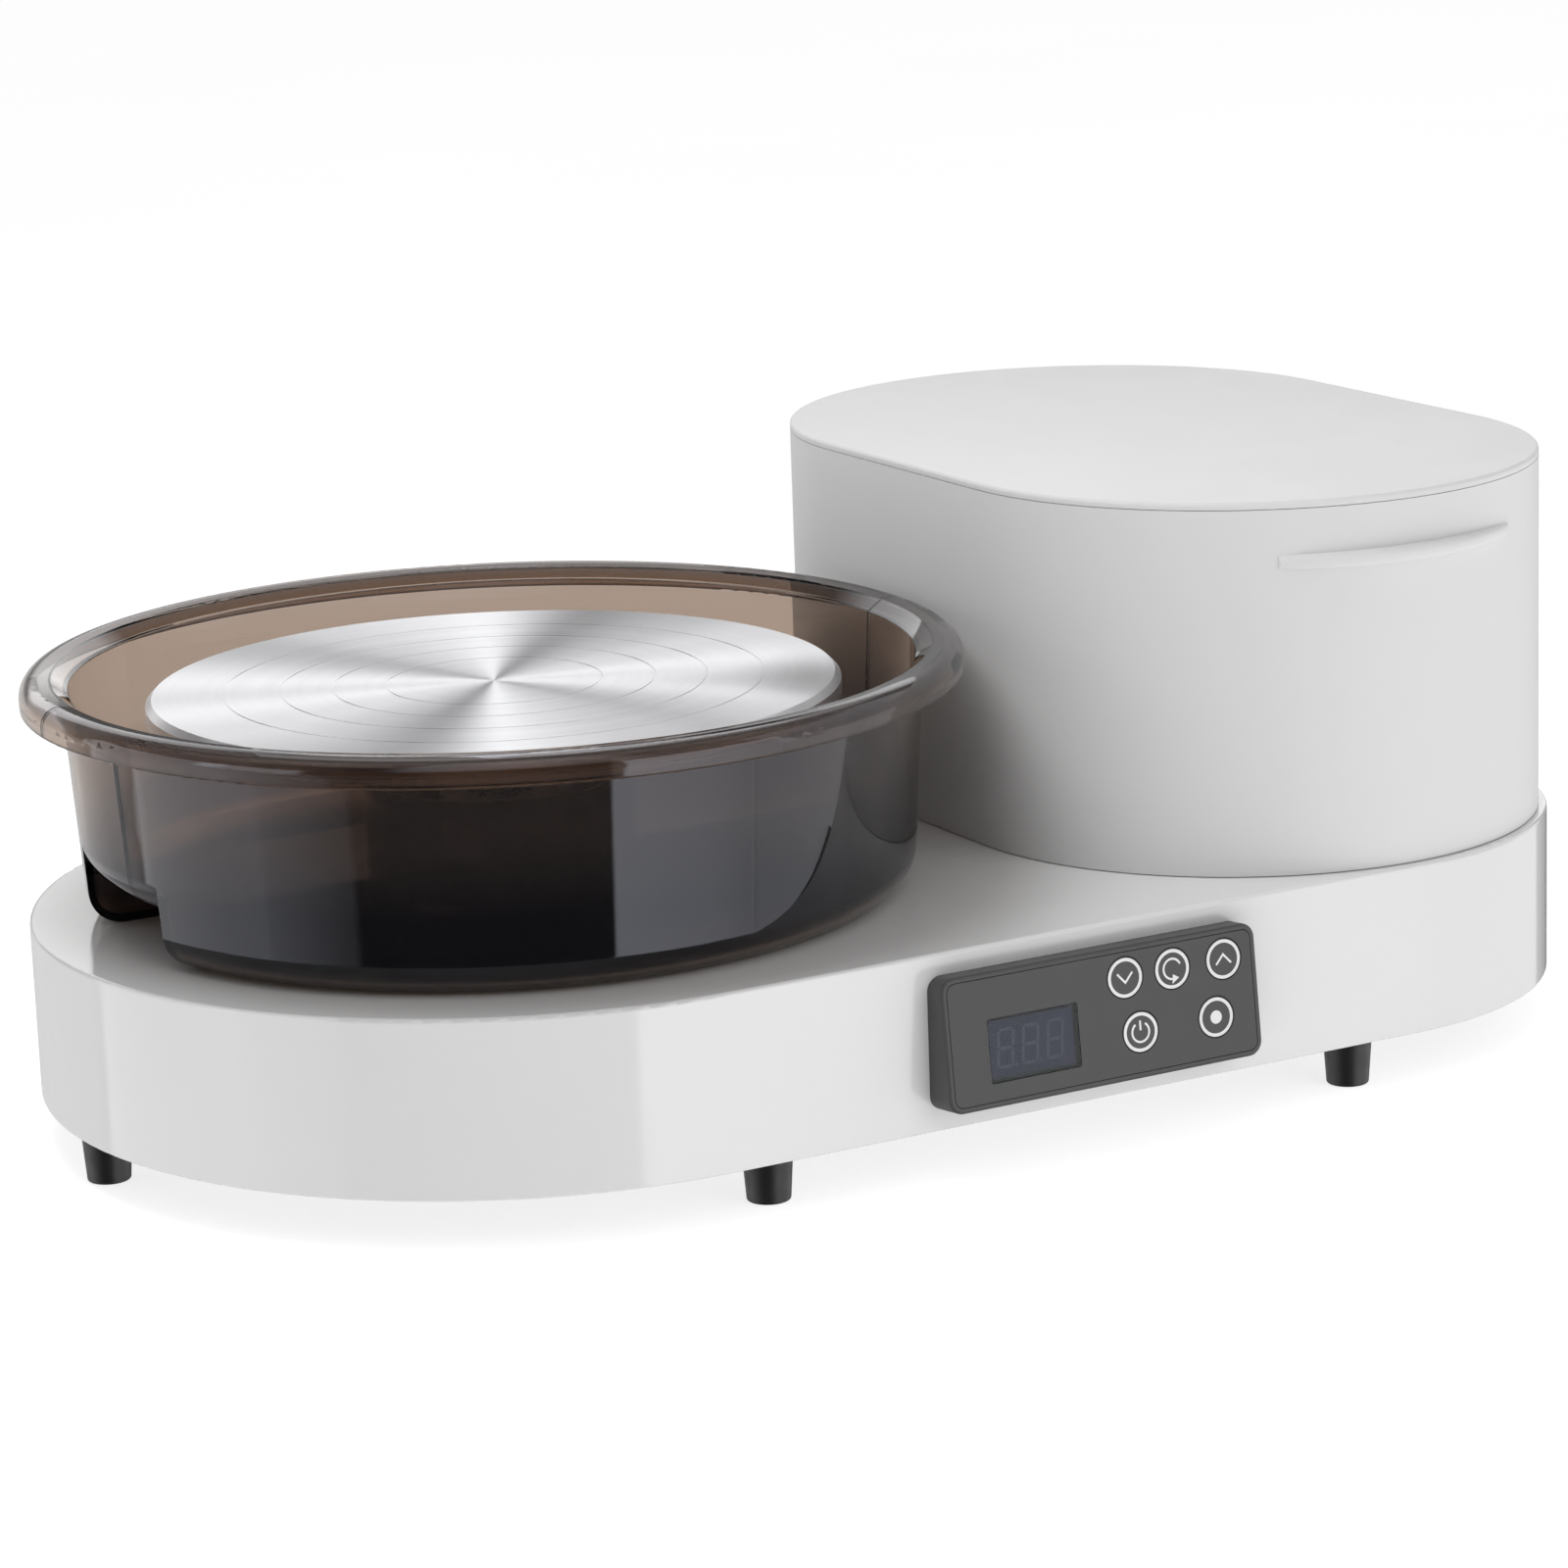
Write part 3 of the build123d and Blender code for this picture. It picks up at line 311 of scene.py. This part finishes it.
def prism(mesh, outline):
    """A flat raised patch with this outline, in millimetres."""
    low = [mesh.verts.new((x, y, INK_LOW)) for x, y in outline]
    high = [mesh.verts.new((x, y, INK_HIGH)) for x, y in outline]
    count = len(outline)
    mesh.faces.new(low[::-1])
    mesh.faces.new(high)
    for i in range(count):
        j = (i + 1) % count
        mesh.faces.new((low[i], low[j], high[j], high[i]))


def arc(radius, start, end, count, at=(0, 0)):
    """Points along an arc, from start to end degrees, counter-clockwise from +X."""
    turns = [math.radians(start + (end - start) * i / (count - 1)) for i in range(count)]
    return [(at[0] + radius * math.cos(t), at[1] + radius * math.sin(t)) for t in turns]


def new_piece(name, mesh, place, body, material):
    """Makes an object from a bmesh in millimetres, at place, riding on a body."""
    bmesh.ops.recalc_face_normals(mesh, faces=mesh.faces[:])
    mesh.transform(Matrix.Diagonal((MM, MM, MM, 1)))
    data = bpy.data.meshes.new(name)
    mesh.to_mesh(data)
    mesh.free()
    data.transform(place)
    obj = bpy.data.objects.new(name, data)
    bpy.context.scene.collection.objects.link(obj)
    data.materials.append(material)
    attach(obj, body)
    return obj


RING_R, RING_W, LINE_W = 7.15, 1.3, 0.85


def chevron(mesh, way):
    """A wide V, upside down for way 1."""
    ribbon(mesh, [(-3.5, -1.9 * way), (0, 1.9 * way), (3.5, -1.9 * way)], LINE_W)


def turn_arrow(mesh):
    """An arrow that goes most of the way round."""
    ribbon(mesh, arc(4.0, 22, 272, 30), LINE_W)
    prism(mesh, [(-0.3, -5.9), (2.9, -3.8), (0.1, -2.2)])


def power_mark(mesh):
    """An open ring with a bar in its gap."""
    ribbon(mesh, arc(3.9, 125, 415, 32), LINE_W)
    ribbon(mesh, [(0, 4.6), (0, 0.7)], LINE_W)


def dot(mesh):
    """A plain round spot."""
    prism(mesh, arc(2.65, 0, 350, 36))


ICONS = {
    "button_speed_down": lambda mesh: chevron(mesh, -1),
    "button_direction": turn_arrow,
    "button_speed_up": lambda mesh: chevron(mesh, 1),
    "button_power": power_mark,
    "button_mode": dot,
}
for node, draw in ICONS.items():
    ink = bmesh.new()
    ribbon(ink, arc(RING_R, 0, 357.5, 144), RING_W, closed=True)
    draw(ink)
    name = "print_" + node.removeprefix("button_")
    new_piece(name, ink, panel_place(node), node + "_cap", MATERIALS["ink_white"])


# ---------------------------------------------------------------- dark segments of the display
DIGIT_W, DIGIT_H, DIGIT_PITCH, DIGIT_SHIFT = 6.6, 14.5, 11.2, -0.8
SEGMENT_W, SEGMENT_GAP, POINT_R, POINT_GAP, SLANT = 1.25, 0.25, 0.75, 1.5, 0.10


def segment(mesh, first, second):
    """One bar of a digit, pointed at both ends and slanted."""
    a, b = Vector(first), Vector(second)
    along = (b - a).normalized()
    side = Vector((-along.y, along.x)) * SEGMENT_W / 2
    a, b = a + along * SEGMENT_GAP, b - along * SEGMENT_GAP
    tip = along * SEGMENT_W / 2
    outline = [a, a + tip + side, b - tip + side, b, b - tip - side, a + tip - side]
    prism(mesh, [(p.x + SLANT * p.y, p.y) for p in outline])


bars = bmesh.new()
for column in (-1, 0, 1):
    x0 = column * DIGIT_PITCH - DIGIT_W / 2 + DIGIT_SHIFT
    x1, top, low = x0 + DIGIT_W, DIGIT_H / 2, -DIGIT_H / 2
    for y in (top, 0, low):
        segment(bars, (x0, y), (x1, y))
    for start, end in ((0, top), (low, 0)):
        for x in (x0, x1):
            segment(bars, (x, start), (x, end))
    prism(bars, arc(POINT_R, 0, 340, 18, (x1 + POINT_GAP + SLANT * low, low)))
new_piece("display_segments", bars, panel_place("display_module"), "base",
          MATERIALS["segment_grey"])


# ---------------------------------------------------------------- floor, light and camera
FLOOR_R, FLOOR_DROP, FLOOR_GLOW = 9.0, 0.0002, 0.79


def stage_floor():
    """A pale floor with a glow of its own, so that only soft shadows show. Shiny surfaces don't see it."""
    g = Graph("floor")
    tone = g.mix(g.remap(g.noise(2.0), 0.0, 1.0), (0.54, 0.54, 0.54, 1), (0.56, 0.56, 0.56, 1))
    diffuse = g.add("ShaderNodeBsdfDiffuse", {"Color": tone})
    glow = g.add("ShaderNodeEmission", {"Color": (1, 1, 1, 1), "Strength": FLOOR_GLOW})
    both = g.add("ShaderNodeAddShader", {0: diffuse.outputs[0], 1: glow.outputs[0]})
    mesh = bmesh.new()
    bmesh.ops.create_circle(mesh, cap_ends=True, radius=FLOOR_R, segments=64)
    data = bpy.data.meshes.new("floor")
    mesh.to_mesh(data)
    mesh.free()
    floor = bpy.data.objects.new("floor", data)
    floor.location.z = -FLOOR_DROP
    bpy.context.scene.collection.objects.link(floor)
    data.materials.append(g.finish(both))
    floor.visible_glossy = False


LENS, SENSOR = 115.3, 36.0
EYE = (-0.97412, -1.78415, 0.61024)
YAW, PITCH, ROLL = math.radians(28.63), math.radians(-13.66), math.radians(-2.02)
FORWARD = Vector((math.sin(YAW) * math.cos(PITCH), math.cos(YAW) * math.cos(PITCH), math.sin(PITCH)))
RIGHT = Vector((math.cos(YAW), -math.sin(YAW), 0))
BACK = Vector((-math.sin(YAW), -math.cos(YAW), 0))


def make_camera():
    """A long lens at the front left, a little above the object."""
    data = bpy.data.cameras.new("camera")
    data.lens, data.sensor_width = LENS, SENSOR
    data.clip_start, data.clip_end = 0.05, 50
    camera = bpy.data.objects.new("camera", data)
    bpy.context.scene.collection.objects.link(camera)
    upward = RIGHT.cross(FORWARD)
    right = RIGHT * math.cos(ROLL) + upward * math.sin(ROLL)
    upward = upward * math.cos(ROLL) - RIGHT * math.sin(ROLL)
    turn = Matrix((right, upward, -FORWARD)).transposed()
    camera.matrix_world = Matrix.Translation(EYE) @ turn.to_4x4()
    bpy.context.scene.camera = camera


def area(name, where, target, size, radiance):
    """A rectangular light at where, facing target, as bright at every size. Shiny surfaces don't see it."""
    data = bpy.data.lights.new(name, "AREA")
    data.shape, data.size, data.size_y = "RECTANGLE", size[0], size[1]
    data.energy = radiance * math.pi * size[0] * size[1]
    light = bpy.data.objects.new(name, data)
    bpy.context.scene.collection.objects.link(light)
    light.location = where
    light.rotation_mode = "QUATERNION"
    light.rotation_quaternion = (Vector(target) - Vector(where)).to_track_quat("-Z", "Y")
    light.visible_glossy = light.visible_transmission = light.visible_camera = False


def toward(bearing, elevation, distance):
    """A place seen from the spindle at a bearing to the right of the camera and an elevation, in degrees."""
    turn, lift = math.radians(bearing), math.radians(elevation)
    flat = BACK * math.cos(turn) + RIGHT * math.sin(turn)
    return AXIS + (flat * math.cos(lift) + Vector((0, 0, math.sin(lift)))) * distance


# Soft boxes: where each stands, what it faces, its width and height, and its brightness.
LIGHTS = {
    "key": (toward(48, 24, 4.5), (0.05, 0, 0.1), (3.0, 3.0), 1.8),
    "front": (toward(0, 52, 1.9), (0, 0, 0.1), (1.3, 1.3), 0.75),
    "fill_left": (toward(-75, 10, 2.6), (-0.2, 0, 0.05), (1.6, 1.2), 0.55),
    "overhead": (Vector((-0.32, 0.0, 0.95)), (0.0, 0, 0.2), (0.5, 0.5), 4.4),
}

# White screens that only shiny surfaces see: bearings and elevations in degrees, then the brightness at
# the first and the last bearing, and how soft the edges are.
SCREENS = [
    ((33, 60), (-32, 24), (2.7, 2.2), 0.6),
    ((60, 75), (-32, 24), (2.2, 1.6), 0.6),
    ((75, 140), (-32, 0), (1.6, 0.9), 1.0),
    ((72, 138), (0, 42), (0.95, 0.95), 3.0),
    ((153, 179), (0, 31), (1.7, 1.7), 3.0),
    ((149, 176), (47, 76), (3.0, 2.3), 1.5),
    ((176, 187), (47, 76), (2.5, 5.2), 1.5),
    ((184, 212), (10, 43), (1.6, 1.6), 3.0),
    ((190, 250), (-32, 4), (0.6, 0.7), 5.0),
    ((250, 296), (-32, 22), (1.5, 1.4), 1.0),
    ((288, 316), (4, 22), (2.1, 2.1), 1.5),
    ((296, 323), (-32, 4), (1.2, 0.3), 1.0),
    ((-24, 40), (28, 72), (1.2, 0.6), 4.0),
]
DOME_R, DOME_GLOW = 12.0, 0.06

# The world's light: how far behind the object and up, from 0 to 1, and how bright it is there.
WORLD_STOPS, WORLD_STRENGTH = ((0.22, 0.05), (0.42, 0.32), (0.62, 0.68)), 0.66


def make_dome():
    """The screens, and a dim glow from everywhere else."""
    g = Graph("dome")
    x, y, z = g.position()
    ahead = g.math("ADD", g.math("MULTIPLY", x, BACK.x), g.math("MULTIPLY", y, BACK.y))
    aside = g.math("ADD", g.math("MULTIPLY", x, RIGHT.x), g.math("MULTIPLY", y, RIGHT.y))
    either_way = g.math("DEGREES", g.math("ARCTAN2", aside, ahead))
    all_round = g.math("FLOORED_MODULO", either_way, 360.0)
    elevation = g.math("DEGREES", g.math("ARCSINE", g.math("DIVIDE", z, DOME_R)))
    total = g.math("ADD", 0.0, DOME_GLOW)
    for bearings, elevations, levels, soft in SCREENS:
        bearing = either_way if bearings[0] < 0 else all_round
        level = g.remap(bearing, *levels, *bearings)
        for value, (first, last) in ((bearing, bearings), (elevation, elevations)):
            level = g.math("MULTIPLY", level, g.remap(value, 0.0, 1.0, first - soft, first + soft))
            level = g.math("MULTIPLY", level, g.remap(value, 1.0, 0.0, last - soft, last + soft))
        total = g.math("ADD", total, level)
    glow = g.add("ShaderNodeEmission", {"Color": (1, 1, 1, 1), "Strength": total})
    mesh = bmesh.new()
    bmesh.ops.create_uvsphere(mesh, u_segments=96, v_segments=48, radius=DOME_R)
    data = bpy.data.meshes.new("dome")
    mesh.to_mesh(data)
    mesh.free()
    dome = bpy.data.objects.new("dome", data)
    dome.location = AXIS
    bpy.context.scene.collection.objects.link(dome)
    material = g.finish(glow)
    material.cycles.emission_sampling = "NONE"
    data.materials.append(material)
    for way in ("camera", "diffuse", "transmission", "shadow", "volume_scatter"):
        setattr(dome, "visible_" + way, False)


def make_world():
    """White for the camera. Its light comes from behind the object and above, and little from the front."""
    world = bpy.data.worlds.new("studio")
    bpy.context.scene.world = world
    world.use_nodes = True
    world.cycles_visibility.glossy = False
    tree = world.node_tree
    tree.nodes.clear()
    out = tree.nodes.new("ShaderNodeOutputWorld")
    where = tree.nodes.new("ShaderNodeTexCoord").outputs["Generated"]
    dot_node = tree.nodes.new("ShaderNodeVectorMath")
    dot_node.operation = "DOT_PRODUCT"
    tree.links.new(where, dot_node.inputs[0])
    dot_node.inputs[1].default_value = (-BACK.x, -BACK.y, 0.35)
    ramp = tree.nodes.new("ShaderNodeValToRGB")
    span = tree.nodes.new("ShaderNodeMapRange")
    for key, value in (("From Min", -1.0), ("From Max", 1.0)):
        span.inputs[key].default_value = value
    tree.links.new(dot_node.outputs["Value"], span.inputs["Value"])
    tree.links.new(span.outputs["Result"], ramp.inputs["Fac"])
    stops = ramp.color_ramp.elements
    stops.new(0.5)
    for stop, (position, level) in zip(stops, WORLD_STOPS):
        stop.position, stop.color = position, (level, level, level, 1)
    lit, seen = tree.nodes.new("ShaderNodeBackground"), tree.nodes.new("ShaderNodeBackground")
    tree.links.new(ramp.outputs["Color"], lit.inputs["Color"])
    lit.inputs["Strength"].default_value = WORLD_STRENGTH
    seen.inputs["Color"].default_value = (1, 1, 1, 1)
    mixer = tree.nodes.new("ShaderNodeMixShader")
    tree.links.new(tree.nodes.new("ShaderNodeLightPath").outputs["Is Camera Ray"], mixer.inputs[0])
    tree.links.new(lit.outputs[0], mixer.inputs[1])
    tree.links.new(seen.outputs[0], mixer.inputs[2])
    tree.links.new(mixer.outputs[0], out.inputs["Surface"])


stage_floor()
make_camera()
make_world()
make_dome()
for name, place in LIGHTS.items():
    area(name, *place)
bpy.context.scene.view_settings.view_transform = "Standard"
bpy.context.scene.view_settings.look = "None"
